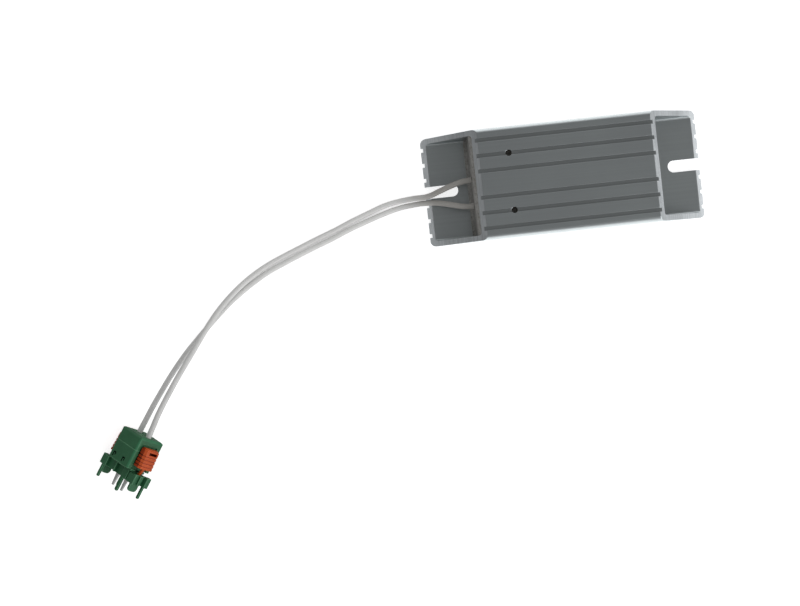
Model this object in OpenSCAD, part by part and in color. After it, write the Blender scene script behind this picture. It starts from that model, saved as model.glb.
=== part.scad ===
// Braking resistor: a mitred aluminium tube filled with cement, with two leads and a two-pole plug.
// Millimetres. Origin at the centre of the back face, +X along the tube, +Z out of the front face.

/* [Housing] */
// Length of the back face, between the sharp ends of the mitres
body_l = 154; // [140:1:240]
// Width of the tube
body_w = 60; // [56:1:80]
// Height of the tube, back face to front face
body_h = 30; // [27:1:40]
// Thickness of the tube's walls
wall = 3; // [2.4:0.1:4]
// Radius of the tube's long outer edges
edge_r = 3; // [1.5:0.5:4]
// Radius of the tube's long inner edges
inner_r = 1.5; // [0.5:0.5:2.5]
// Angle of the end cuts from the back face
mitre_deg = 45; // [40:1:60]

/* [Grooves] */
// Width of a long groove
groove_w = 2; // [1:0.1:3]
// Depth of a long groove
groove_d = 1.3; // [0.5:0.1:1.8]
// Centre line of the tube to the first groove
groove_first = 7.1; // [5:0.1:8]
// Distance between neighbouring grooves
groove_pitch = 8.35; // [6:0.05:9]
// Grooves on each side of the centre line
groove_count = 3; // [1:1:3]

/* [Fixing holes] */
// Width of the open slots in the back plate
slot_w = 6.6; // [4.5:0.1:9]
// Depth of the open slots from the end of the back plate
slot_l = 18.4; // [12:0.2:22]
// Tapping drill of the two holes in the front plate
tap_d = 3.3; // [2.5:0.1:4.2]
// Front plate's cut edge to the tapped holes
tap_inset = 16; // [8:0.5:30]

/* [Filling] */
// How far the lead end's seal stands out past the front plate's inner lip
seal_proud = 1.5; // [0:0.1:3]
// How far the blind end's seal lies behind the front plate's inner lip
seal_recess = 1; // [0:0.1:2]
// Thickness of the lead end's seal
seal_t = 6; // [5:0.5:9]
// Foot of the lead end's seal along the back plate
seal_foot = 1.8; // [0.5:0.1:2.5]
// Thickness of the mica sheets
mica_t = 0.8; // [0.4:0.1:1.2]
// Diameter of a ceramic core
core_d = 13; // [10:0.5:14]
// Bore of a ceramic core
core_bore = 6; // [3:0.5:8]
// Distance between the two cores' axes
core_spacing = 27; // [21:0.5:30]
// Diameter of the resistance wire
winding_d = 1.2; // [0.8:0.1:1.5]
// Turns of resistance wire on each core
winding_turns = 11; // [6:1:16]
// Diameter of a crimp sleeve
crimp_d = 4; // [3.4:0.1:5]
// Length of a crimp sleeve
crimp_l = 8.5; // [6:0.5:10]

/* [Leads] */
// Outside diameter of a lead wire
lead_d = 3.1; // [2.4:0.1:3.4]
// Upper lead's distance from the tube's centre line
lead_upper_y = 4; // [3:0.5:8]
// Lower lead's distance from the tube's centre line
lead_lower_y = -10.5; // [-14:0.5:-7]
// Height of both leads at the seal
lead_z = 15; // [13:0.5:17]

/* [Plug] */
// Distance between the two poles
pole_pitch = 7.62; // [7.4:0.01:8.2]
// Width of the plug's body, across the poles
plug_w = 16.8; // [16.6:0.1:18]
// Depth of the plug's body
plug_d = 18.4; // [17:0.1:20]
// Height of the lower body, from the mating base to the cap
plug_mid_h = 10.6; // [10:0.1:13]
// Height of the wire-entry cap
cap_h = 7.9; // [6.5:0.1:10]
// Radius of the body's upright edges
plug_edge_r = 1.5; // [0.8:0.1:2.5]
// Width of the mating base with its end flanges
base_w = 27.6; // [27:0.1:30]
// Depth of the mating base
base_d = 11; // [10.4:0.1:13]
// Height of the mating base
base_h = 6.7; // [6:0.1:9]
// Height of the base's end flanges
flange_h = 5.5; // [4.8:0.1:5.8]
// Length of the corner guide fingers below the base
corner_finger_l = 7.3; // [4:0.1:9]
// Width of a corner guide finger
corner_finger_w = 1.7; // [1.4:0.1:2.2]
// Length of the middle guide fingers below the base
mid_finger_l = 7.9; // [4:0.1:9]
// Width of a middle guide finger
mid_finger_w = 2.2; // [1.6:0.1:2.6]
// Length of the rounded end tongues below the base
tongue_l = 4.3; // [3:0.1:6]
// Width of an end tongue
tongue_w = 6.4; // [5:0.1:7]

/* [Contacts] */
// Width of a contact blade
blade_w = 2.4; // [1.6:0.1:3]
// Width of a contact blade at its tip
blade_tip_w = 1.1; // [0.6:0.1:1.6]
// Thickness of a contact blade
blade_t = 1; // [0.6:0.1:1.4]
// Length of a contact blade below the base
blade_l = 7.5; // [4:0.1:10]
// Diameter of a ferrule's metal sleeve
ferrule_d = 2; // [1.4:0.1:2.4]
// Thickness of a clamp spring's strip
spring_t = 0.4; // [0.2:0.1:0.6]

/* [Latches] */
// Height of a latch pad
pad_h = 11.2; // [8:0.1:12]
// Width of a latch pad
pad_w = 11.3; // [9:0.1:11.5]
// Thickness of a pad at its top ridge
pad_top_t = 3.9; // [3.6:0.1:4.4]
// Thickness of a pad at its bottom ridge
pad_bottom_t = 4.6; // [3.6:0.1:4.8]
// Number of grip ridges round a pad
ridge_count = 6; // [3:1:7]
// Depth of the grooves between the grip ridges
ridge_h = 0.6; // [0.2:0.1:0.8]
// Width of the stem below a pad
stem_w = 1.7; // [1.4:0.1:2.4]
// Diameter of the pivot trunnions
trunnion_d = 1.4; // [1.2:0.1:1.8]

/* [Hidden] */
$fn = 64;
over = 1;
fit = 0.15;
running_fit = 0.08;

// Housing
run_per_rise = 1 / tan(mitre_deg);
front_half = body_l / 2 - body_h * run_per_rise;
lip_x = body_l / 2 - (body_h - wall) * run_per_rise;
tap_y = groove_first + min(1, groove_count - 1) * groove_pitch;
tap_x = -(front_half - tap_inset);
screw_room = 2;

// Filling
mid_z = body_h / 2;
seal_out = lip_x + seal_proud;
seal_in = seal_out - seal_t;
blind_out = lip_x - seal_recess;
mica_w = body_w - 2 * wall - 2 * inner_r;
crimp_start = 2.5;
crimp_x0 = -seal_in + crimp_start;
crimp_x1 = crimp_x0 + crimp_l;
tail_l = 5;
link_l = 3;
end_wall = 0.8;
core_x0 = crimp_x1 + tail_l;
core_x1 = seal_in - end_wall - winding_d - link_l;
core_y = core_spacing / 2;
winding_steps = 12;
winding_sides = 5;
winding_r = core_d / 2 / cos(180 / winding_steps) + winding_d / 2 + fit;
chamber_r = winding_r + winding_d / 2 + fit;
winding_edge = 3;

// Plug, in its own axes: X across the poles, Z from the mating base to the wire entries
body_z0 = base_h;
cap_z0 = base_h + plug_mid_h;
cap_z1 = cap_z0 + cap_h;
cap_round = 2;
side_pocket_depth = 1.2;
side_pocket_room = 0.45;
side_pocket_z1 = cap_z0 + 4.3;
finger_t = 1.3;
corner_finger_x = base_w / 2 - 1.4;
mid_finger_x = pole_pitch / 2 + 0.9;
end_inset = 1.2;
tongue_t = 1.5;
tongue_y = -1.7;
tongue_round = 2;
tongue_x = base_w / 2 - end_inset;
front_wall_t = 1;
post_y0 = -1.4;
post_y1 = 0.4;
ear_l = 1.5;
ear_y = 2.5;
ear_h = flange_h + 0.4;
recess_w = 6;
recess_d = 6;
recess_h = 4;
chamber_w = 4.9;
chamber_y0 = -4.6;
chamber_y1 = 3.4;
chamber_floor = 5.2;
wall_recess_depth = 2;
recess_end = 10.5;
rib_x = -3.4;
rib_w = 0.7;
land_x = 3.3;
line_x = 7.5;
line_w = 0.8;
line_depth = 0.9;
window_w = 2.1;
window_h = 2.9;
window_line = 0.7;
window_depth = 1.5;
window_shift = 0.2;
window_z = body_z0 + 1.2;

// Contacts and clamps
bar_w = 4.4;
bar_t = 1;
bar_y = ferrule_d / 2 + 0.1;
bar_top = 0.8;
foot_h = 1;
spring_w = 3.6;
spring_r = 1.7;
spring_z0 = chamber_floor + 1.8;
spring_z1 = spring_z0 + 6.6;
clamp_drop = 4.1;
ferrule_z0 = chamber_floor + 2.8;
collar_d = 3.6;
collar_z0 = cap_z0 + 0.3;
collar_h = 1.9;
lead_end_z = collar_z0 + collar_h;
funnel_d = 5.2;
funnel_h = 1.2;
release_w = 3;
release_d = 1.8;
release_y = -4.2;

// Latches: pad, stem, trunnions and hook about a pivot in the base's end slot
slot_room = 0.3;
hub_r = 1.2;
slot_x1 = tongue_x - tongue_t;
pivot_x = slot_x1 - slot_room - hub_r;
pivot_z = 3;
slot_x0 = pivot_x - hub_r - slot_room;
trunnion_l = 1.2;
pad_x = plug_w / 2 + 0.3;
pad_z1 = cap_z0 + 3.3;
pad_z0 = pad_z1 - pad_h;
pad_corner = 1.3;
pad_slot_w = 5.9;
pad_slot_h = 1.45;
pad_slot_y = 0.4;
pad_slot_drop = 1.4;
pad_slot_depth = 3.2;
stem_t = 1.2;
stem_top_x = pad_x + 0.6 * pad_bottom_t;
hook_t = 1.2;
hook_l = 2.6;
barb = 0.5;
barb_h = 1;
ridge_share = 0.66;

// Where the plug lies: on the edge of its base, rolled and turned
plug_roll = 38;
plug_turn = -33.5;
plug_x = -258.8;
plug_y = -136.2;
plug_z = base_w / 2 * sin(plug_roll) + base_d / 2 * cos(plug_roll);

// Routes of the two leads, from the crimps to the ferrules
lead_sides = 8;
upper_route = [
    [-43, 4, 15], [-52, 4, 15], [-57, 3.5, 14.5], [-63, 2, 12.8], [-69, 0, 10.9],
    [-76, -2.2, 8.9], [-84, -2.4, 6.7], [-92, -3, 4.4], [-100, -4.4, 2.6], [-109, -7.4, 1.7],
    [-119, -11, 1.6], [-129, -15, 1.6], [-139, -18.6, 1.6], [-148, -22, 1.6], [-157, -25.5, 1.6],
    [-166, -29.2, 1.8], [-174.5, -33.6, 2.4], [-182.5, -38.8, 3.5], [-190, -44.8, 4.6],
    [-197, -51.5, 5.3], [-203, -58.4, 5.6], [-208.4, -65.4, 6], [-213.5, -72.4, 6.8], [-218.5, -79.2, 8],
    [-223.4, -86, 9.6], [-228, -92.8, 11.4], [-232.3, -99.4, 13.1], [-236.2, -105.8, 14.4],
    [-239.5, -111.9, 15.1], [-242.4, -116.9, 15.2], [-245.5, -121.6, 15.2]
];
lower_route = [
    [-43, -10.5, 15], [-52, -10.5, 15], [-57, -10, 14.4], [-63, -8.4, 12.3], [-69.5, -6.6, 9.4],
    [-77, -5.6, 6.4], [-85, -5.8, 4], [-92.5, -6.7, 2.5], [-101, -8.8, 1.7], [-110.5, -11.8, 1.6],
    [-120.5, -15.2, 1.6], [-130.5, -19.2, 1.6], [-140.5, -22.8, 1.6], [-149.5, -26.2, 1.6],
    [-158.5, -29.8, 1.6], [-167.5, -33.6, 1.6], [-176, -38.2, 1.6], [-184.5, -43.6, 1.6],
    [-192, -49.2, 1.6], [-199, -55.2, 1.6], [-205.5, -61.2, 1.6], [-211.5, -67, 1.9],
    [-217.5, -73, 2.6], [-223, -79.2, 3.7], [-228.3, -85.8, 5.2], [-233.4, -92.8, 7],
    [-238.6, -100.2, 9], [-243.2, -107.2, 10.3], [-247.4, -113.5, 10.5], [-250.5, -118.3, 10.5]
];

// Shared shapes
module rounded_rect(w, h, r) {
    square([w - 2 * r, h], center = true);
    square([w, h - 2 * r], center = true);
    for (x = [-1, 1], y = [-1, 1]) translate([x * (w / 2 - r), y * (h / 2 - r)]) circle(r);
}

module along_x(from, to) {
    translate([from, 0, 0]) rotate([90, 0, 90]) linear_extrude(to - from) children();
}

module along_y(from, to) {
    translate([0, to, 0]) rotate([90, 0, 0]) linear_extrude(to - from) children();
}

module block(x, y, z) {
    translate([x[0], y[0], z[0]]) cube([x[1] - x[0], y[1] - y[0], z[1] - z[0]]);
}

module in_plug() {
    translate([plug_x, plug_y, plug_z]) rotate([-90, -plug_roll, plug_turn]) children();
}

// A tube with a ring of corners at each point of a path, square to the path there
function unit(v) = v / norm(v);
function heading(path, i) = unit(path[min(i + 1, len(path) - 1)] - path[max(i - 1, 0)]);
function normals(path, i = 0, up = [0, 0, 1]) =
    let (d = heading(path, i), n = unit(up - (up * d) * d))
    i == len(path) - 1 ? [n] : concat([n], normals(path, i + 1, n));
function ring(p, d, n, r, sides) = [
    for (k = [0 : sides - 1])
        let (a = 360 * (k + 0.5) / sides)
        p + r * (cos(a) * n + sin(a) * cross(n, d))
];

module tube(path, d, sides) {
    count = len(path);
    up = normals(path);
    corners = [for (i = [0 : count - 1]) each ring(path[i], heading(path, i), up[i], d / 2, sides)];
    walls = [
        for (i = [0 : count - 2], k = [0 : sides - 1])
            let (n = (k + 1) % sides, low = i * sides, high = low + sides)
            each [[low + k, low + n, high + n], [low + k, high + n, high + k]]
    ];
    first = [for (k = [sides - 1 : -1 : 0]) k];
    last = [for (k = [0 : sides - 1]) (count - 1) * sides + k];
    polyhedron(corners, concat([first], walls, [last]));
}

// Housing
module cavity_section() {
    translate([0, mid_z]) rounded_rect(body_w - 2 * wall, body_h - 2 * wall, inner_r);
}

module groove_section() {
    for (side = [-1, 1], i = [0 : groove_count - 1], z = [-over, body_h - groove_d])
        translate([side * (groove_first + i * groove_pitch) - groove_w / 2, z])
            square([groove_w, groove_d + over]);
}

module mitre_outline() {
    polygon([[-body_l / 2, 0], [body_l / 2, 0], [front_half, body_h], [-front_half, body_h]]);
}

module end_slot() {
    round_x = body_l / 2 - slot_l + slot_w / 2;
    translate([round_x, 0, -over]) cylinder(d = slot_w, h = wall + 2 * over);
    block([round_x, body_l / 2 + over], [-slot_w / 2, slot_w / 2], [-over, wall + over]);
}

module housing() {
    color("darkgray") difference() {
        intersection() {
            along_x(-body_l / 2, body_l / 2) difference() {
                translate([0, mid_z]) rounded_rect(body_w, body_h, edge_r);
                cavity_section();
                groove_section();
            }
            along_y(-body_w / 2 - over, body_w / 2 + over) mitre_outline();
        }
        end_slot();
        mirror([1, 0, 0]) end_slot();
        tap_holes(wall + over);
    }
}

module tap_holes(depth) {
    for (side = [-1, 1])
        translate([tap_x, side * tap_y, body_h - depth]) cylinder(d = tap_d, h = depth + over);
}

// Seals, cement and insulation
module seal_block(outer) {
    intersection() {
        along_x(seal_in, outer) cavity_section();
        along_y(-body_w / 2, body_w / 2) mitre_outline();
    }
}

module seal_wedge() {
    intersection() {
        along_x(seal_in, seal_out + seal_foot) cavity_section();
        along_y(-body_w / 2, body_w / 2) polygon([
            [seal_in, wall], [seal_out + seal_foot, wall],
            [seal_out, wall + seal_foot], [seal_in, wall + seal_foot]
        ]);
    }
}

module end_seal_lead() {
    color("dimgray") difference() {
        mirror([1, 0, 0]) {
            seal_block(seal_out);
            seal_wedge();
        }
        for (y = [lead_upper_y, lead_lower_y])
            translate([0, y, lead_z]) rotate([0, -90, 0]) cylinder(d = lead_d + 2 * fit, h = body_l);
    }
}

module end_seal_blind() {
    color("dimgray") seal_block(blind_out);
}

module mica_sheet(z) {
    block([-seal_in, seal_in], [-mica_w / 2, mica_w / 2], [z, z + mica_t]);
}

module mica_back() {
    color("wheat") mica_sheet(wall);
}

module mica_front() {
    color("wheat") difference() {
        mica_sheet(body_h - wall - mica_t);
        tap_holes(wall + mica_t + over);
    }
}

module filler() {
    color("gray") difference() {
        along_x(-seal_in, seal_in) cavity_section();
        mica_sheet(wall);
        mica_sheet(body_h - wall - mica_t);
        tap_holes(wall + mica_t + screw_room);
        for (side = [-1, 1])
            translate([crimp_x1, side * core_y, mid_z]) rotate([0, 90, 0])
                cylinder(r = chamber_r, h = core_x1 + link_l + winding_d - crimp_x1);
        for (y = [lead_upper_y, lead_lower_y])
            translate([-seal_in - over, y, lead_z]) rotate([0, 90, 0])
                cylinder(d = crimp_d + 2 * fit, h = over + seal_in + crimp_x1 + fit);
        block([core_x1, core_x1 + link_l + winding_d], [-core_y, core_y],
            [mid_z - winding_d, mid_z + winding_d]);
        for (y = [lead_upper_y, lead_lower_y])
            let (inner = sign(y) * (core_y - winding_r))
            block([crimp_x1, core_x0 + winding_edge], [min(y, inner) - winding_d, max(y, inner) + winding_d],
                [min(lead_z, mid_z) - winding_d, max(lead_z, mid_z) + winding_d]);
    }
}

// Cores and winding
module core(side) {
    color("linen") translate([core_x0, side * core_y, mid_z]) rotate([0, 90, 0]) difference() {
        cylinder(d = core_d, h = core_x1 - core_x0);
        translate([0, 0, -over]) cylinder(d = core_bore, h = core_x1 - core_x0 + 2 * over);
    }
}

module core_upper() {
    core(1);
}

module core_lower() {
    core(-1);
}

function turn_point(side, x, angle) = [
    x, side * (core_y - winding_r * cos(angle)), mid_z + winding_r * sin(angle)
];
function helix(side, x0, x1) = [
    for (i = [0 : winding_turns * winding_steps])
        let (t = i / (winding_turns * winding_steps))
        turn_point(side, x0 + (x1 - x0) * t, 360 * winding_turns * t)
];

module winding() {
    left = core_x0 + winding_edge;
    right = core_x1 - winding_edge;
    link_x = core_x1 + link_l;
    step = [winding_d, 0, 0];
    upper_end = [crimp_x1, lead_upper_y, lead_z];
    lower_end = [crimp_x1, lead_lower_y, lead_z];
    path = concat(
        [upper_end, upper_end + step, turn_point(1, core_x0 - winding_d, 0)],
        helix(1, left, right),
        [turn_point(1, link_x - winding_d, 0), turn_point(1, link_x, 0) - [0, winding_d, 0]],
        [turn_point(-1, link_x, 0) + [0, winding_d, 0], turn_point(-1, link_x - winding_d, 0)],
        helix(-1, right, left),
        [turn_point(-1, core_x0 - winding_d, 0), lower_end + step, lower_end]
    );
    color("slategray") tube(path, winding_d, winding_sides);
}

module crimp(y) {
    waist = 0.4;
    color("silver") translate([crimp_x0, y, lead_z]) rotate([0, 90, 0]) difference() {
        cylinder(d = crimp_d, h = crimp_l);
        for (part = [0.3, 0.7]) translate([0, 0, crimp_l * part - waist]) difference() {
            cylinder(d = crimp_d + over, h = 2 * waist);
            cylinder(d = crimp_d - 2 * waist, h = 2 * waist);
        }
    }
}

module crimp_upper() {
    crimp(lead_upper_y);
}

module crimp_lower() {
    crimp(lead_lower_y);
}

// Leads
module lead_upper() {
    color("lightgray") tube(upper_route, lead_d, lead_sides);
}

module lead_lower() {
    color("lightgray") tube(lower_route, lead_d, lead_sides);
}

// Plug body: contact chambers above the mating base, with fingers and end tongues below it
module finger(x, w, l) {
    y0 = -base_d / 2;
    along_y(y0, y0 + finger_t) {
        translate([x - w / 2, -l + w / 2]) square([w, l - w / 2 + over]);
        translate([x, -l + w / 2]) circle(d = w);
    }
}

module corner() {
    block([-base_w / 2 - ear_l, -tongue_x], [-base_d / 2, -ear_y], [0, ear_h]);
    finger(-corner_finger_x, corner_finger_w, corner_finger_l);
    finger(mid_finger_x, mid_finger_w, mid_finger_l);
}

module tongue() {
    low = -tongue_l + tongue_round;
    along_x(slot_x1, tongue_x) translate([tongue_y, 0]) {
        translate([-tongue_w / 2, low]) square([tongue_w, flange_h - low]);
        translate([-tongue_w / 2 + tongue_round, -tongue_l]) square([tongue_w - 2 * tongue_round, tongue_l]);
        for (side = [-1, 1]) translate([side * (tongue_w / 2 - tongue_round), low]) circle(tongue_round);
    }
}

module base_end_recesses() {
    for (y = [[-base_d / 2 + front_wall_t, post_y0], [post_y1, ear_y]])
        block([tongue_x, base_w / 2 + over], y, [-over, flange_h + over]);
}

module wall_recesses() {
    y0 = -base_d / 2;
    for (x = [[-recess_end, rib_x - rib_w / 2], [rib_x + rib_w / 2, land_x]])
        block(x, [y0 - over, y0 + wall_recess_depth], [-over, flange_h]);
    block([line_x, line_x + line_w], [y0 - over, y0 + line_depth], [-over, flange_h]);
}

module latch_slot() {
    block([slot_x0, slot_x1], [-stem_w / 2 - slot_room, stem_w / 2 + slot_room], [-over, flange_h + over]);
    translate([pivot_x, 0, pivot_z]) rotate([90, 0, 0])
        cylinder(d = trunnion_d + 2 * running_fit, h = stem_w + 2 * trunnion_l + 2 * fit, center = true);
}

module side_pocket() {
    half = pad_w / 2 + side_pocket_room;
    block([plug_w / 2 - side_pocket_depth, plug_w], [-half, half], [body_z0, side_pocket_z1]);
}

module pole_space(side) {
    x = side * pole_pitch / 2;
    translate([x, 0, recess_h / 2 - over / 2]) cube([recess_w, recess_d, recess_h + over], center = true);
    block([x - chamber_w / 2, x + chamber_w / 2], [chamber_y0, chamber_y1], [chamber_floor, cap_z0 + over]);
    translate([x, 0, chamber_floor - over])
        cube([blade_w + 2 * fit, blade_t + 2 * fit, 4 * over], center = true);
}

module window(x) {
    y0 = -plug_d / 2;
    left = x - window_w;
    top = window_z + window_h;
    block([left, x], [y0 - over, y0 + window_depth], [top - window_line, top]);
    block([left, left + window_line], [y0 - over, y0 + window_depth], [window_z, top]);
    block([x - window_line, x], [y0 - over, y0 + window_depth], [window_z + window_h / 3, top]);
}

module plug_body() {
    color("seagreen") in_plug() difference() {
        union() {
            translate([0, 0, body_z0]) linear_extrude(plug_mid_h) rounded_rect(plug_w, plug_d, plug_edge_r);
            block([-plug_w / 2, plug_w / 2], [-base_d / 2, base_d / 2], [0, body_z0]);
            difference() {
                block([-base_w / 2, base_w / 2], [-base_d / 2, base_d / 2], [0, flange_h]);
                base_end_recesses();
                mirror([1, 0, 0]) base_end_recesses();
            }
            corner();
            rotate([0, 0, 180]) corner();
            tongue();
            mirror([1, 0, 0]) tongue();
        }
        side_pocket();
        mirror([1, 0, 0]) side_pocket();
        wall_recesses();
        rotate([0, 0, 180]) wall_recesses();
        latch_slot();
        mirror([1, 0, 0]) latch_slot();
        pole_space(-1);
        pole_space(1);
        window(-pole_pitch / 2 + window_shift);
        window(pole_pitch / 2 + window_shift);
    }
}

// Plug cap: rounded on its top edges, with the upper ends of the latches' side pockets
module cap_block() {
    tall = 2 * cap_h;
    intersection() {
        translate([0, 0, cap_z0]) linear_extrude(cap_h) rounded_rect(plug_w, plug_d, plug_edge_r);
        along_x(-plug_w, plug_w) translate([0, cap_z1 - tall / 2]) rounded_rect(plug_d, tall, cap_round);
        along_y(-plug_d, plug_d) translate([0, cap_z1 - tall / 2]) rounded_rect(plug_w, tall, cap_round);
    }
}

module wire_entry(side) {
    translate([side * pole_pitch / 2, 0, 0]) {
        translate([0, 0, cap_z0 - over]) cylinder(d = lead_d + 2 * fit, h = cap_h + 2 * over);
        translate([0, 0, cap_z0 - over]) cylinder(d = collar_d + 2 * fit, h = over + lead_end_z - cap_z0 + fit);
        translate([0, 0, cap_z1 - funnel_h]) cylinder(d1 = lead_d + 2 * fit, d2 = funnel_d, h = funnel_h);
        block([-release_w / 2, release_w / 2], [release_y - release_d / 2, release_y + release_d / 2],
            [cap_z0 - over, cap_z1 + over]);
    }
}

module plug_cap() {
    color("mediumseagreen") in_plug() difference() {
        cap_block();
        side_pocket();
        mirror([1, 0, 0]) side_pocket();
        wire_entry(-1);
        wire_entry(1);
    }
}

// Contacts, clamps and ferrules of the two poles
module contact(side) {
    color("gainsboro") in_plug() translate([side * pole_pitch / 2, 0, 0]) {
        along_y(-blade_t / 2, blade_t / 2) polygon([
            [-blade_w / 2, chamber_floor], [-blade_w / 2, 0], [-blade_tip_w / 2, -blade_l],
            [blade_tip_w / 2, -blade_l], [blade_w / 2, 0], [blade_w / 2, chamber_floor]
        ]);
        block([-bar_w / 2, bar_w / 2], [-blade_t / 2, bar_y + bar_t], [chamber_floor, chamber_floor + foot_h]);
        block([-bar_w / 2, bar_w / 2], [bar_y, bar_y + bar_t], [chamber_floor, cap_z0 - bar_top]);
    }
}

module contact_upper() {
    contact(1);
}

module contact_lower() {
    contact(-1);
}

module clamp_spring(side) {
    back_y = chamber_y0;
    bend_y = back_y + spring_r;
    color("lightsteelblue") in_plug() translate([side * pole_pitch / 2, 0, 0])
        along_x(-spring_w / 2, spring_w / 2) {
            translate([back_y, spring_z0]) square([spring_t, spring_z1 - spring_z0]);
            translate([bend_y + spring_r - spring_t, spring_z1 - clamp_drop]) square([spring_t, clamp_drop]);
            difference() {
                translate([bend_y, spring_z1]) circle(spring_r);
                translate([bend_y, spring_z1]) circle(spring_r - spring_t);
                translate([bend_y - spring_r - over, spring_z1 - 2 * spring_r])
                    square([2 * spring_r + 2 * over, 2 * spring_r]);
            }
        }
}

module clamp_spring_upper() {
    clamp_spring(1);
}

module clamp_spring_lower() {
    clamp_spring(-1);
}

module ferrule(side) {
    color("whitesmoke") in_plug() translate([side * pole_pitch / 2, 0, 0]) {
        translate([0, 0, ferrule_z0]) cylinder(d = ferrule_d, h = collar_z0 - ferrule_z0);
        translate([0, 0, collar_z0]) cylinder(d = collar_d, h = collar_h);
    }
}

module ferrule_upper() {
    ferrule(1);
}

module ferrule_lower() {
    ferrule(-1);
}

// Latches: a ridged pad on a leaning stem that turns on trunnions and ends in a short hook
function pad_t(i) = pad_bottom_t + (pad_top_t - pad_bottom_t) * i / (ridge_count - 1);

module pad_outline(t, half) {
    outer = pad_x + t;
    polygon([
        [pad_x, -half], [outer - pad_corner, -half], [outer, -half + pad_corner],
        [outer, half - pad_corner], [outer - pad_corner, half], [pad_x, half]
    ]);
}

module pad() {
    pitch = pad_h / ridge_count;
    half = pad_w / 2;
    for (i = [0 : ridge_count - 1])
        let (z = pad_z0 + i * pitch, core_z = min(z + pitch * (1 + ridge_share / 2), pad_z1))
        translate([0, 0, z]) {
            linear_extrude(core_z - z) pad_outline(pad_t(i) - ridge_h, half - ridge_h);
            linear_extrude(pitch * ridge_share) pad_outline(pad_t(i), half);
        }
}

module latch_arm() {
    hook_x = pivot_x - hook_t / 2;
    hook_z = pivot_z - hook_l;
    polygon([
        [pivot_x - stem_t / 2, pivot_z], [pivot_x + stem_t / 2, pivot_z],
        [stem_top_x + stem_t / 2, pad_z0 + over / 2], [stem_top_x - stem_t / 2, pad_z0 + over / 2]
    ]);
    translate([pivot_x, pivot_z]) circle(hub_r);
    polygon([
        [hook_x, pivot_z], [hook_x, hook_z + barb_h], [hook_x - barb, hook_z + barb_h], [hook_x, hook_z],
        [hook_x + hook_t, hook_z], [hook_x + hook_t, pivot_z]
    ]);
}

module latch() {
    slot_y = [pad_slot_y - pad_slot_w / 2, pad_slot_y + pad_slot_w / 2];
    slot_z = pad_z1 - pad_slot_drop;
    difference() {
        pad();
        block([pad_x + pad_top_t - pad_slot_depth, pad_x + 2 * pad_bottom_t], slot_y,
            [slot_z - pad_slot_h, slot_z]);
    }
    along_y(-stem_w / 2, stem_w / 2) latch_arm();
    translate([pivot_x, 0, pivot_z]) rotate([90, 0, 0])
        cylinder(d = trunnion_d, h = stem_w + 2 * trunnion_l, center = true);
}

module latch_right() {
    color("orangered") in_plug() latch();
}

module latch_left() {
    color("orangered") in_plug() mirror([1, 0, 0]) latch();
}

housing();
end_seal_lead();
end_seal_blind();
filler();
mica_front();
mica_back();
core_upper();
core_lower();
winding();
crimp_upper();
crimp_lower();
lead_upper();
lead_lower();
plug_body();
plug_cap();
contact_upper();
contact_lower();
clamp_spring_upper();
clamp_spring_lower();
ferrule_upper();
ferrule_lower();
latch_left();
latch_right();
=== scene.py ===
"""Looks of the braking resistor: camera, leads, finishes, floor and light."""
import math

import bmesh
import bpy
from mathutils import Matrix, Vector


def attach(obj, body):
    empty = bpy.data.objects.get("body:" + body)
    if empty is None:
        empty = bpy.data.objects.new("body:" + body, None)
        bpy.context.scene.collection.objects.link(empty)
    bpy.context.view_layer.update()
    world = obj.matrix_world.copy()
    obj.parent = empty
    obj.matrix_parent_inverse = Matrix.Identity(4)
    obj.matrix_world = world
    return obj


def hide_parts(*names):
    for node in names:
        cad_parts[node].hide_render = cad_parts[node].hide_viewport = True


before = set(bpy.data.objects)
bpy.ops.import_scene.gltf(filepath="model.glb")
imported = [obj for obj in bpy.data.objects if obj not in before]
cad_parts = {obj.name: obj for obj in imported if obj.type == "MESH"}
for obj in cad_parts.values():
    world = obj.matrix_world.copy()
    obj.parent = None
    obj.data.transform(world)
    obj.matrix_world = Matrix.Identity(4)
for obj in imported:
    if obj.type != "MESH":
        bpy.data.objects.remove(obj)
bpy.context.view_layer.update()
MM = 0.001
WHITE = (1, 1, 1, 1)

# Camera, fitted to the photograph
CAMERA_AT = (-0.1095, -0.0484, 0.8907)
CAMERA_TURN = (-0.59, -0.842, -6.23)
CAMERA_LENS = 72
CAMERA_SENSOR = 36
CAMERA_REACH = 20

# Leads: their thickness and the routes of the solids in millimetres, from the seal's face to the
# ferrules
LEAD_D = 3.1
UPPER_ROUTE = [
    (-51.5, 4, 15), (-57, 3.5, 14.5), (-63, 2, 12.8), (-69, 0, 10.9), (-76, -2.2, 8.9),
    (-84, -2.4, 6.7), (-92, -3, 4.4), (-100, -4.4, 2.6), (-109, -7.4, 1.7), (-119, -11, 1.6),
    (-129, -15, 1.6), (-139, -18.6, 1.6), (-148, -22, 1.6), (-157, -25.5, 1.6), (-166, -29.2, 1.8),
    (-174.5, -33.6, 2.4), (-182.5, -38.8, 3.5), (-190, -44.8, 4.6), (-197, -51.5, 5.3),
    (-203, -58.4, 5.6), (-208.4, -65.4, 6), (-213.5, -72.4, 6.8), (-218.5, -79.2, 8),
    (-223.4, -86, 9.6), (-228, -92.8, 11.4), (-232.3, -99.4, 13.1), (-236.2, -105.8, 14.4),
    (-239.5, -111.9, 15.1), (-242.4, -116.9, 15.2), (-245.5, -121.6, 15.2),
]
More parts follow.
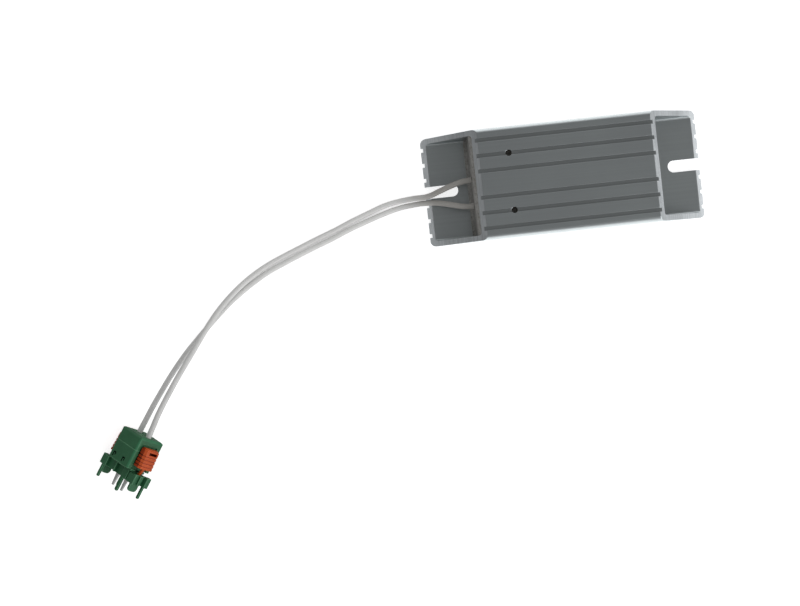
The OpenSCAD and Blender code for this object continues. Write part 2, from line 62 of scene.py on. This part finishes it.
LOWER_ROUTE = [
    (-51.5, -10.5, 15), (-57, -10, 14.4), (-63, -8.4, 12.3), (-69.5, -6.6, 9.4), (-77, -5.6, 6.4),
    (-85, -5.8, 4), (-92.5, -6.7, 2.5), (-101, -8.8, 1.7), (-110.5, -11.8, 1.6),
    (-120.5, -15.2, 1.6), (-130.5, -19.2, 1.6), (-140.5, -22.8, 1.6), (-149.5, -26.2, 1.6),
    (-158.5, -29.8, 1.6), (-167.5, -33.6, 1.6), (-176, -38.2, 1.6), (-184.5, -43.6, 1.6),
    (-192, -49.2, 1.6), (-199, -55.2, 1.6), (-205.5, -61.2, 1.6), (-211.5, -67, 1.9),
    (-217.5, -73, 2.6), (-223, -79.2, 3.7), (-228.3, -85.8, 5.2), (-233.4, -92.8, 7),
    (-238.6, -100.2, 9), (-243.2, -107.2, 10.3), (-247.4, -113.5, 10.5), (-250.5, -118.3, 10.5),
]


def make_camera():
    data = bpy.data.cameras.new("camera")
    data.lens = CAMERA_LENS
    data.sensor_width = CAMERA_SENSOR
    data.clip_end = CAMERA_REACH
    camera = bpy.data.objects.new("camera", data)
    camera.location = CAMERA_AT
    camera.rotation_euler = [math.radians(a) for a in CAMERA_TURN]
    bpy.context.scene.collection.objects.link(camera)
    bpy.context.scene.camera = camera


make_camera()


# Materials
def linear(r, g, b):
    """A colour written as 0 to 255 display values, as the linear values that a shader takes."""
    scaled = [c / 255 for c in (r, g, b)]
    return tuple(c / 12.92 if c < 0.04045 else ((c + 0.055) / 1.055) ** 2.4 for c in scaled) + (1,)


def grey(level):
    return linear(level, level, level)


class Nodes:
    """A node tree, with short calls for the nodes that are used more than once."""

    def __init__(self, tree):
        self.tree = tree

    def feed(self, socket, value):
        """Links the value to the socket if it is a socket too, and writes it there if not."""
        if isinstance(value, bpy.types.NodeSocket):
            self.tree.links.new(value, socket)
        else:
            socket.default_value = value

    def add(self, kind, inputs=(), **settings):
        made = self.tree.nodes.new("ShaderNode" + kind)
        for key, value in settings.items():
            setattr(made, key, value)
        for key, value in dict(inputs).items():
            self.feed(made.inputs[key], value)
        return made

    def ramp(self, factor, low, high, start=0.3, end=0.7):
        """A colour that goes from low to high as the factor goes from start to end."""
        made = self.add("ValToRGB", {"Fac": factor})
        for element, place, colour in zip(made.color_ramp.elements, (start, end), (low, high)):
            element.position = place
            element.color = colour
        return made.outputs["Color"]

    def spread(self, factor, low, high, start=0.3, end=0.7):
        """A number that goes from low to high as the factor goes from start to end."""
        inputs = {"Value": factor, "From Min": start, "From Max": end,
                  "To Min": low, "To Max": high}
        return self.add("MapRange", inputs).outputs["Result"]

    def math(self, operation, a, b):
        return self.add("Math", {0: a, 1: b}, operation=operation).outputs[0]


class Shader(Nodes):
    """A material with one principled shader and the nodes that feed it."""

    def __init__(self, name, **values):
        self.material = bpy.data.materials.new(name)
        self.material.use_nodes = True
        super().__init__(self.material.node_tree)
        self.bsdf = self.tree.nodes["Principled BSDF"]
        self.set(**values)

    def set(self, **values):
        """Feeds the shader's inputs, named with _ for each space."""
        for name, value in values.items():
            self.feed(self.bsdf.inputs[name.replace("_", " ")], value)

    def place(self, scale=(1, 1, 1), turn=(0, 0, 0)):
        """Object coordinates, scaled and turned."""
        source = self.add("TexCoord").outputs["Object"]
        inputs = {"Vector": source, "Scale": scale, "Rotation": [math.radians(a) for a in turn]}
        return self.add("Mapping", inputs).outputs["Vector"]

    def along(self):
        """The place along the shared X axis, in metres."""
        return self.add("SeparateXYZ", {0: self.place()}).outputs["X"]

    def noise(self, scale, detail=3, where=None):
        inputs = {"Scale": scale, "Detail": detail, "Vector": where or self.place()}
        return self.add("TexNoise", inputs).outputs["Fac"]

    def mix(self, factor, a, b, blend="MIX"):
        made = self.add("Mix", data_type="RGBA", blend_type=blend)
        for socket, value in ((0, factor), (6, a), (7, b)):
            self.feed(made.inputs[socket], value)
        return made.outputs[2]

    def shade(self, colour, factor, low, start=0.3, end=0.7):
        """The colour, multiplied by one that goes from low to white as the factor grows."""
        return self.mix(1, colour, self.ramp(factor, low, WHITE, start, end), "MULTIPLY")

    def bump(self, *layers):
        """Bump layers of (height socket, depth in millimetres), laid on each other."""
        normal = None
        for height, depth in layers:
            inputs = {"Height": height, "Distance": depth * MM, "Strength": 1}
            if normal:
                inputs["Normal"] = normal
            normal = self.add("Bump", inputs).outputs["Normal"]
        self.set(Normal=normal)


def extruded_aluminium(name, dark, light):
    s = Shader(name, Metallic=0.94)
    lines = s.noise(scale=1, detail=4, where=s.place(scale=(4, 700, 700)))
    clouds = s.noise(scale=25, detail=4)
    grain = s.noise(scale=4200, detail=2)
    body = s.ramp(clouds, dark, light)
    s.set(Base_Color=s.shade(body, lines, grey(250), 0.35, 0.65))
    s.set(Roughness=s.spread(grain, 0.29, 0.37))
    s.bump((grain, 0.004))
    return s.material


def sawn_aluminium():
    s = Shader("sawn_aluminium", Metallic=0.91)
    teeth = s.noise(scale=1, where=s.place(scale=(2600, 25, 2600), turn=(0, 0, 8)))
    clouds = s.noise(scale=90)
    body = s.ramp(clouds, linear(200, 205, 208), linear(217, 222, 225))
    s.set(Base_Color=s.shade(body, teeth, grey(216)))
    s.set(Roughness=s.spread(teeth, 0.3, 0.44))
    s.bump((teeth, 0.03))
    return s.material


def tapped_aluminium():
    s = Shader("tapped_aluminium", Metallic=0.9, Roughness=0.4)
    turns = {"Vector": s.place(), "Scale": 224, "Distortion": 0.3}
    thread = s.add("TexWave", turns, bands_direction="Z").outputs["Fac"]
    # The thread's colour goes from dark at its roots to pale at its crests: painted shade and light
    # of the thread, laid over its bump
    s.set(Base_Color=s.ramp(thread, grey(81), linear(153, 155, 155), 0.2, 0.8))
    s.bump((thread, 0.3))
    return s.material


def cement():
    s = Shader("cement", Roughness=0.92)
    grains = s.noise(scale=900, detail=4)
    lumps = s.noise(scale=160, detail=5)
    stain = s.noise(scale=45)
    body = s.ramp(lumps, linear(142, 142, 140), linear(156, 156, 153))
    stained = s.shade(body, stain, linear(230, 228, 225))
    s.set(Base_Color=s.shade(stained, grains, linear(214, 213, 212), 0.35, 0.6))
    s.bump((lumps, 0.2), (grains, 0.06))
    return s.material


def mica():
    s = Shader("mica", Roughness=0.35)
    cells = {"Vector": s.place(scale=(1, 1, 0.2)), "Scale": 220}
    flakes = s.add("TexVoronoi", cells).outputs["Distance"]
    clouds = s.noise(scale=60, detail=4)
    body = s.ramp(clouds, linear(176, 150, 104), linear(206, 184, 142))
    layers = s.ramp(flakes, linear(222, 206, 170), linear(150, 124, 84), 0.1, 0.6)
    s.set(Base_Color=s.mix(0.5, body, layers))
    s.bump((flakes, 0.03))
    return s.material


def ceramic():
    s = Shader("core_ceramic", Roughness=0.78)
    specks = s.noise(scale=2200)
    clouds = s.noise(scale=70, detail=4)
    body = s.ramp(clouds, linear(226, 220, 206), linear(240, 236, 226))
    s.set(Base_Color=s.shade(body, specks, linear(206, 198, 184), 0.25, 0.4))
    s.bump((specks, 0.04))
    return s.material


# Where the leads' colour changes, along X in metres: from the plain grey near the plug to a painted
# light half-way, and from that to a painted shade near the housing
PLAIN_TO_PAINTED_LIGHT = (-0.24, -0.16)
PAINTED_LIGHT_TO_SHADE = (-0.094, -0.072)


def silicone():
    """Grey insulation, made palest half-way by painted light, and darker by painted shade where it
    leaves the housing.
    """
    s = Shader("lead_silicone", Roughness=0.6, Sheen_Weight=0.15)
    clouds = s.noise(scale=120)
    dust = s.noise(scale=2600)
    plain_grey = s.ramp(clouds, linear(204, 204, 203), linear(211, 211, 210))
    clean = s.ramp(clouds, linear(230, 230, 229), linear(236, 236, 235))
    along = s.along()
    # Painted light: paler half-way along the lead
    body = s.mix(s.spread(along, 0, 1, *PLAIN_TO_PAINTED_LIGHT), plain_grey, clean)
    # Painted shade: darker where the lead leaves the housing
    body = s.mix(s.spread(along, 0, 1, *PAINTED_LIGHT_TO_SHADE), body, linear(166, 164, 160))
    s.set(Base_Color=s.shade(body, dust, linear(244, 244, 243)))
    s.bump((dust, 0.01))
    return s.material


def moulded(name, dark, light):
    s = Shader(name, IOR=1.45, Specular_IOR_Level=0.45)
    spark = s.noise(scale=6500, detail=2)
    clouds = s.noise(scale=150, detail=4)
    flow = s.noise(scale=1, where=s.place(scale=(60, 240, 60), turn=(0, 0, 25)))
    body = s.ramp(clouds, dark, light)
    s.set(Base_Color=s.shade(body, flow, grey(240)))
    s.set(Roughness=s.spread(spark, 0.36, 0.46))
    s.bump((spark, 0.01))
    return s.material


def drawn_metal(name, dark, light, metallic=0.95, rough=(0.28, 0.42)):
    s = Shader(name, Metallic=metallic)
    rolled = s.noise(scale=1, where=s.place(scale=(400, 4000, 4000)))
    clouds = s.noise(scale=300)
    body = s.ramp(clouds, dark, light)
    s.set(Base_Color=s.shade(body, rolled, grey(225)))
    s.set(Roughness=s.spread(rolled, *rough))
    s.bump((rolled, 0.006))
    return s.material


ALUMINIUM = extruded_aluminium("extruded_aluminium", linear(185, 191, 193), linear(191, 198, 199))
# A darker copy of the drawn finish for the grooves' faces: painted shade in the grooves
GROOVE = extruded_aluminium("extruded_aluminium_groove_painted_shade", linear(165, 170, 171),
                            linear(173, 178, 179))
SAWN = sawn_aluminium()
TAPPED = tapped_aluminium()
CEMENT = cement()
MICA = mica()
CERAMIC = ceramic()
SILICONE = silicone()
# The plug's green: its own colour, a paler one for the painted highlight on the eased edges, a
# lighter one for the painted highlight on the rounded edges, and a dark one for the painted shade
# in the windows
GREENS = [
    moulded("green_plastic", linear(42, 96, 63), linear(48, 104, 69)),
    moulded("green_plastic_edge_painted_highlight", linear(84, 138, 102), linear(94, 148, 112)),
    moulded("green_plastic_round_painted_highlight", linear(46, 108, 72), linear(52, 116, 80)),
    moulded("green_plastic_recess_painted_shade", linear(10, 26, 16), linear(14, 32, 20)),
]
# The latches' orange: its own colour for the pad's face, a paler one for the painted highlight on
# the eased edges, and darker ones for the painted shade in the grooves' floors, on the narrow
# sides, in the grooves on the sides and in the slot
ORANGES = [
    moulded("orange_plastic", linear(180, 70, 18), linear(194, 79, 23)),
    moulded("orange_plastic_edge_painted_highlight", linear(204, 94, 40), linear(216, 104, 48)),
    moulded("orange_plastic_line_painted_shade", linear(156, 54, 12), linear(168, 61, 16)),
    moulded("orange_plastic_side_painted_shade", linear(156, 50, 12), linear(168, 57, 15)),
    moulded("orange_plastic_groove_painted_shade", linear(92, 24, 5), linear(104, 30, 7)),
    moulded("orange_plastic_recess_painted_shade", linear(112, 28, 6), linear(124, 34, 9)),
]
TIN = drawn_metal("tin_plating", linear(217, 220, 217), linear(237, 240, 237))
WIRE = drawn_metal("resistance_wire", linear(92, 90, 88), linear(122, 119, 115),
                   metallic=0.9, rough=(0.4, 0.55))
STEEL = drawn_metal("spring_steel", linear(150, 153, 158), linear(170, 173, 178),
                    rough=(0.22, 0.34))


# Leads
def lead(name, route, node):
    """One lead wire as a smooth round curve through the route's points."""
    curve = bpy.data.curves.new(name, "CURVE")
    curve.dimensions = "3D"
    curve.bevel_depth = LEAD_D / 2 * MM
    curve.bevel_resolution = 6
    curve.resolution_u = 8
    curve.use_fill_caps = True
    spline = curve.splines.new("BEZIER")
    spline.bezier_points.add(len(route) - 1)
    for point, place in zip(spline.bezier_points, route):
        point.co = Vector(place) * MM
        point.handle_left_type = "AUTO"
        point.handle_right_type = "AUTO"
    piece = bpy.data.objects.new(name, curve)
    piece.data.materials.append(SILICONE)
    bpy.context.scene.collection.objects.link(piece)
    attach(piece, "resistor")
    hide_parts(node)
    return piece


upper_lead = lead("upper_lead", UPPER_ROUTE, "lead_upper")
lower_lead = lead("lower_lead", LOWER_ROUTE, "lead_lower")

# Pieces seen from outside: copies of their solids with merged flat faces and eased edges.
# Their lengths are in millimetres.
BARELY = math.radians(1)
SHARP = math.radians(32)
FLAT_WITHIN = math.radians(0.4)
MERGE = 0.002

# The housing's finishes, and where they are
AS_DRAWN, BARE, THREADED, GROOVED_SHADE = range(4)
MITRED = 0.6
UPRIGHT = 0.1
SLOT_SIDE = 3.5
BACK_PLATE = 3
GROOVES_SIDE = 26
GROOVE_Z = (28.2, 29.98)
TAP_X = -31
TAP_REACH = 3
TAP_FLOOR = 27
TAP_ROUND = 0.02


def housing_finish(face):
    """The sawn ends and the milled slots are bare, the tapped holes threaded with painted shade,
    the grooves' faces darker with painted shade, the rest as drawn.
    """
    centre = face.calc_center_median() / MM
    across, up = abs(face.normal.x), abs(face.normal.z)
    if across > MITRED and face.normal.z > MITRED:
        return BARE
    if up < UPRIGHT and abs(centre.y) < SLOT_SIDE and centre.z < BACK_PLATE:
        return BARE
    if across < UPRIGHT and abs(centre.y) < GROOVES_SIDE and GROOVE_Z[0] < centre.z < GROOVE_Z[1]:
        return GROOVED_SHADE
    tap = abs(centre.x - TAP_X) < TAP_REACH and centre.z > TAP_FLOOR
    if up < UPRIGHT and tap and across > TAP_ROUND:
        return THREADED
    return AS_DRAWN


# The plug's own axes: X across the poles, Z from the mating base to the wire entries
PLUG_AT = Vector((-258.8, -136.2, 12.83))
PLUG_TURN = Matrix.Rotation(math.radians(-33.5), 3, "Z") @ \
    Matrix.Rotation(math.radians(-38), 3, "Y") @ Matrix.Rotation(math.radians(-90), 3, "X")
PLUG_BACK = PLUG_TURN.transposed()
NEAR = 0.02

# The finishes of the plug's body and cap, and where they are
PLUG_FLAT, PLUG_EDGE_HIGHLIGHT, PLUG_ROUND_HIGHLIGHT, PLUG_WINDOW_SHADE = range(4)
WINDOW_X = ((-5.71, -3.61), (1.91, 4.01))
WINDOW_Y = (-9.19, -7.6)
WINDOW_Z = (7.9, 10.8)
ROUND_BELOW = 0.97
ROUND_FROM_X = 6
INSIDE_X = 7.8
INSIDE_Y = 4.6
CHAMBER_RIM = 0.05
ENTRY_Z = (17.5, 24.5)

# The latches' finishes, and the shape of their ridged pads
PAD_FACE, PAD_EDGE_HIGHLIGHT, PAD_LINE_SHADE, PAD_SIDE_SHADE, PAD_GROOVE_SHADE, PAD_SLOT_SHADE = range(6)
PAD_X = 8.7
PAD_Z = (9.4, 20.6)
RIDGES = 6
RIDGE_SHARE = 0.66
RIDGE_PITCH = (PAD_Z[1] - PAD_Z[0]) / RIDGES
SHALLOWER = 0.3
SUNK_Y = (3.75, 5.05)
SLOT_X = (9.3, 12.3)
SLOT_Z = (17.7, 19.25)
SLOT_Y = 0.4
SLOT_REACH = 3
SIDEWAYS = 0.9
RIDGE_MARGIN = 0.1
LAST_GROOVE = RIDGES - 1.5
PAD_MARGIN = 0.1
CLOSED_STEP = 0.004


def within(value, limits):
    return limits[0] - NEAR < value < limits[1] + NEAR


def in_plug(point):
    return PLUG_BACK @ (point / MM - PLUG_AT)


def from_plug(point):
    return (PLUG_TURN @ point + PLUG_AT) * MM


def ridges_up(at):
    """The height on the pad, counted in ridges."""
    return (at.z - PAD_Z[0]) / RIDGE_PITCH


def plug_finish(face):
    """The windows get painted shade, and the rounded edges a painted highlight, a little lighter
    than the flat faces.
    """
    at = in_plug(face.calc_center_median())
    in_window = any(within(at.x, x) for x in WINDOW_X)
    if in_window and within(at.y, WINDOW_Y) and within(at.z, WINDOW_Z):
        return PLUG_WINDOW_SHADE
    turned = PLUG_BACK @ face.normal
    slanted = max(abs(turned.x), abs(turned.y), abs(turned.z)) < ROUND_BELOW
    return PLUG_ROUND_HIGHLIGHT if slanted and abs(at.x) > ROUND_FROM_X else PLUG_FLAT


def inside_plug(edge):
    """The rims of the contact chambers and the inner ends of the wire entries."""
    ends = [in_plug(vert.co) for vert in edge.verts]
    return all(abs(at.x) < INSIDE_X and abs(at.y) < INSIDE_Y
               and (abs(at.z) < CHAMBER_RIM or ENTRY_Z[0] < at.z < ENTRY_Z[1]) for at in ends)


def latch_finish(face):
    """The pad's slot gets painted shade, and its narrow sides and grooves get painted shade that
    makes them darker than its face.
    """
    at = in_plug(face.calc_center_median())
    in_slot = within(abs(at.x), SLOT_X) and within(at.z, SLOT_Z)
    if in_slot and abs(at.y - SLOT_Y) < SLOT_REACH:
        return PAD_SLOT_SHADE
    side = abs((PLUG_BACK @ face.normal).y) > SIDEWAYS and at.z > PAD_Z[0]
    ridge = ridges_up(at)
    if RIDGE_MARGIN < ridge < LAST_GROOVE and RIDGE_SHARE + NEAR < ridge % 1 < 1 - NEAR:
        return PAD_GROOVE_SHADE if side else PAD_LINE_SHADE
    return PAD_SIDE_SHADE if side else PAD_FACE


def soften_pad(bm):
    """Half the depth of the pad's grooves, and no groove below its top ridge."""
    top_groove = (RIDGES - 2 + RIDGE_SHARE, RIDGES - 1)
    closed = set()
    for vert in bm.verts:
        at = in_plug(vert.co)
        ridge = ridges_up(at)
        if within(ridge, top_groove):
            closed.add(vert)
            lower = ridge < top_groove[1] - RIDGE_MARGIN
            at.z = PAD_Z[0] + top_groove[1] * RIDGE_PITCH - (CLOSED_STEP if lower else 0)
        elif RIDGE_MARGIN < ridge < RIDGES - 1 and min(abs(abs(at.y) - y) for y in SUNK_Y) < NEAR:
            at.y += math.copysign(SHALLOWER, at.y)
            at.x += math.copysign(SHALLOWER, at.x) if abs(at.x) > PAD_X + PAD_MARGIN else 0
        vert.co = from_plug(at)
    for edge in bm.edges:
        edge.seam = closed.issuperset(edge.verts)


def dress(node, body, finishes, ease, choose, rim=-1, shaded=9, reshape=None, sharp=None):
    """A copy of one CAD node with eased edges, in one or more finishes.

    The eased edges take finish number rim, a painted highlight where one is given, apart from those
    of faces with finish number shaded or more (the plug's and latches' finishes with painted shade)
    and those that the sharp call names.
    """
    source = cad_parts[node]
    bm = bmesh.new()
    bm.from_mesh(source.data)
    bmesh.ops.remove_doubles(bm, verts=bm.verts, dist=MERGE * MM)
    if reshape:
        reshape(bm)
    bmesh.ops.dissolve_limit(bm, angle_limit=FLAT_WITHIN, verts=bm.verts, edges=bm.edges)
    weight = bm.edges.layers.float.new("bevel_weight_edge")
    turned = [edge for edge in bm.edges if len(edge.link_faces) == 2]
    for edge in turned:
        edge.smooth = edge.calc_face_angle(0) < SHARP
    rounded = {face for edge in turned if BARELY < edge.calc_face_angle(0) < SHARP
               for face in edge.link_faces}
    for face in bm.faces:
        face.smooth = face in rounded
        face.material_index = choose(face)
    for edge in turned:
        outer = edge.is_convex and edge.calc_face_angle(0) > SHARP
        bare = all(face.material_index < shaded for face in edge.link_faces)
        kept = edge.seam or rounded.issuperset(edge.link_faces) or (sharp and sharp(edge))
        edge[weight] = float(outer and bare and not kept)
    mesh = bpy.data.meshes.new(node + "_eased")
    bm.to_mesh(mesh)
    bm.free()
    piece = bpy.data.objects.new(node + "_eased", mesh)
    piece.matrix_world = source.matrix_world
    for finish in finishes:
        mesh.materials.append(finish)
    bpy.context.scene.collection.objects.link(piece)
    bevel = piece.modifiers.new("ease", "BEVEL")
    bevel.width = ease * MM
    bevel.segments = 2
    bevel.limit_method = "WEIGHT"
    bevel.material = rim
    bevel.use_clamp_overlap = False
    even = piece.modifiers.new("even_normals", "WEIGHTED_NORMAL")
    even.weight = 100
    even.keep_sharp = True
    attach(piece, body)
    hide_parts(node)
    return piece


HOUSING_EASE = 0.2
PLUG_EASE = 0.25
LATCH_EASE = 0.12

dress("housing", "resistor", [ALUMINIUM, SAWN, TAPPED, GROOVE], HOUSING_EASE,
      housing_finish)
plug_pieces = [
    dress(node, "resistor", GREENS, PLUG_EASE, plug_finish,
          rim=PLUG_EDGE_HIGHLIGHT, shaded=PLUG_WINDOW_SHADE, sharp=inside_plug)
    for node in ("plug_body", "plug_cap")
] + [
    dress(node, node, ORANGES, LATCH_EASE, latch_finish,
          rim=PAD_EDGE_HIGHLIGHT, shaded=PAD_LINE_SHADE, reshape=soften_pad)
    for node in ("latch_left", "latch_right")
]

# Pieces shown as they are packed, with a finish
FINISH = {
    "end_seal_lead": CEMENT, "end_seal_blind": CEMENT, "filler": CEMENT,
    "mica_front": MICA, "mica_back": MICA, "core_upper": CERAMIC, "core_lower": CERAMIC,
    "winding": WIRE, "crimp_upper": TIN, "crimp_lower": TIN,
    "contact_upper": TIN, "contact_lower": TIN,
    "clamp_spring_upper": STEEL, "clamp_spring_lower": STEEL,
    "ferrule_upper": TIN, "ferrule_lower": TIN,
}
for node, finish in FINISH.items():
    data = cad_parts[node].data
    data.materials.clear()
    data.materials.append(finish)


# Floor and light: a pale floor under an even sky with a bright low band that fades on two sides
SKY = 0.2
SKY_EDGE = 1.66
SKY_EDGE_TOP = 0.65
SKY_LEFT = 0.05
SKY_LEFT_FADE = (-0.6, 0)
SKY_RIGHT = 0.5
SKY_RIGHT_FADE = (0.3, 0.9)
FLOOR_SIZE = 6
FLOOR_GLOW = 0.62
FLOOR_MIRRORED = 1
FLOOR_PALE = 0.9
FLOOR_SHADED = 0.5
FLOOR_LEFT_FADE = (-0.13, -0.05)
FLOOR_RIGHT_FADE = (0.06, 0.12)


def make_floor():
    bm = bmesh.new()
    bmesh.ops.create_grid(bm, x_segments=1, y_segments=1, size=FLOOR_SIZE)
    mesh = bpy.data.meshes.new("floor")
    bm.to_mesh(mesh)
    bm.free()
    floor = bpy.data.objects.new("floor", mesh)
    bpy.context.scene.collection.objects.link(floor)
    s = Shader("floor", Roughness=0.9, Specular_IOR_Level=0.1, Emission_Color=WHITE)
    # The floor glows white to the camera; in reflections only, it glows in a band between two fades
    # and carries a painted shade towards the leads' side
    along = s.along()
    left = s.spread(along, 0, FLOOR_MIRRORED, *FLOOR_LEFT_FADE)
    right = s.spread(along, FLOOR_MIRRORED, 0, *FLOOR_RIGHT_FADE)
    rays = s.add("LightPath")
    seen = s.math("MULTIPLY", rays.outputs["Is Camera Ray"], FLOOR_GLOW)
    mirrored = s.math("MULTIPLY", rays.outputs["Is Glossy Ray"], s.math("MINIMUM", left, right))
    s.set(Emission_Strength=s.math("ADD", seen, mirrored))
    pale = (FLOOR_PALE, FLOOR_PALE, FLOOR_PALE, 1)
    shaded = s.spread(along, FLOOR_SHADED, FLOOR_PALE, *FLOOR_LEFT_FADE)
    s.set(Base_Color=s.mix(rays.outputs["Is Glossy Ray"], pale, shaded))
    s.material.cycles.emission_sampling = "NONE"
    floor.data.materials.append(s.material)


def area_light(name, at, aim, size, power, mirrored=True):
    data = bpy.data.lights.new(name, "AREA")
    data.shape = "DISK"
    data.size = size
    data.energy = power
    lamp = bpy.data.objects.new(name, data)
    lamp.location = at
    lamp.rotation_euler = (Vector(aim) - Vector(at)).to_track_quat("-Z", "Y").to_euler()
    lamp.visible_camera = False
    lamp.visible_glossy = mirrored
    bpy.context.scene.collection.objects.link(lamp)


def make_world():
    """White light, dim overhead and bright low down, least bright from the leads' side."""
    world = bpy.data.worlds.new("studio")
    world.use_nodes = True
    n = Nodes(world.node_tree)
    axes = n.add("SeparateXYZ", {0: n.add("TexCoord").outputs["Generated"]})
    band = n.spread(axes.outputs["Z"], SKY_EDGE, 0, 0, SKY_EDGE_TOP)
    left = n.spread(axes.outputs["X"], SKY_LEFT, 1, *SKY_LEFT_FADE)
    right = n.spread(axes.outputs["X"], 1, SKY_RIGHT, *SKY_RIGHT_FADE)
    band = n.math("MULTIPLY", band, n.math("MULTIPLY", left, right))
    sky = n.add("Background", {"Color": WHITE, "Strength": n.math("ADD", band, SKY)})
    backdrop = n.add("Background", {"Color": WHITE, "Strength": 1})
    seen = n.add("LightPath").outputs["Is Camera Ray"]
    mix = n.add("MixShader", {0: seen, 1: sky.outputs[0], 2: backdrop.outputs[0]})
    n.tree.links.new(mix.outputs[0], n.tree.nodes["World Output"].inputs["Surface"])
    bpy.context.scene.world = world


make_floor()
make_world()
area_light("side", at=(1, -0.7, 0.9), aim=(-0.1, -0.05, 0), size=1, power=7)
area_light("overhead", at=(0, 0, 1.6), aim=(0, 0.001, 0), size=5, power=22, mirrored=False)
bpy.context.scene.view_settings.view_transform = "Standard"
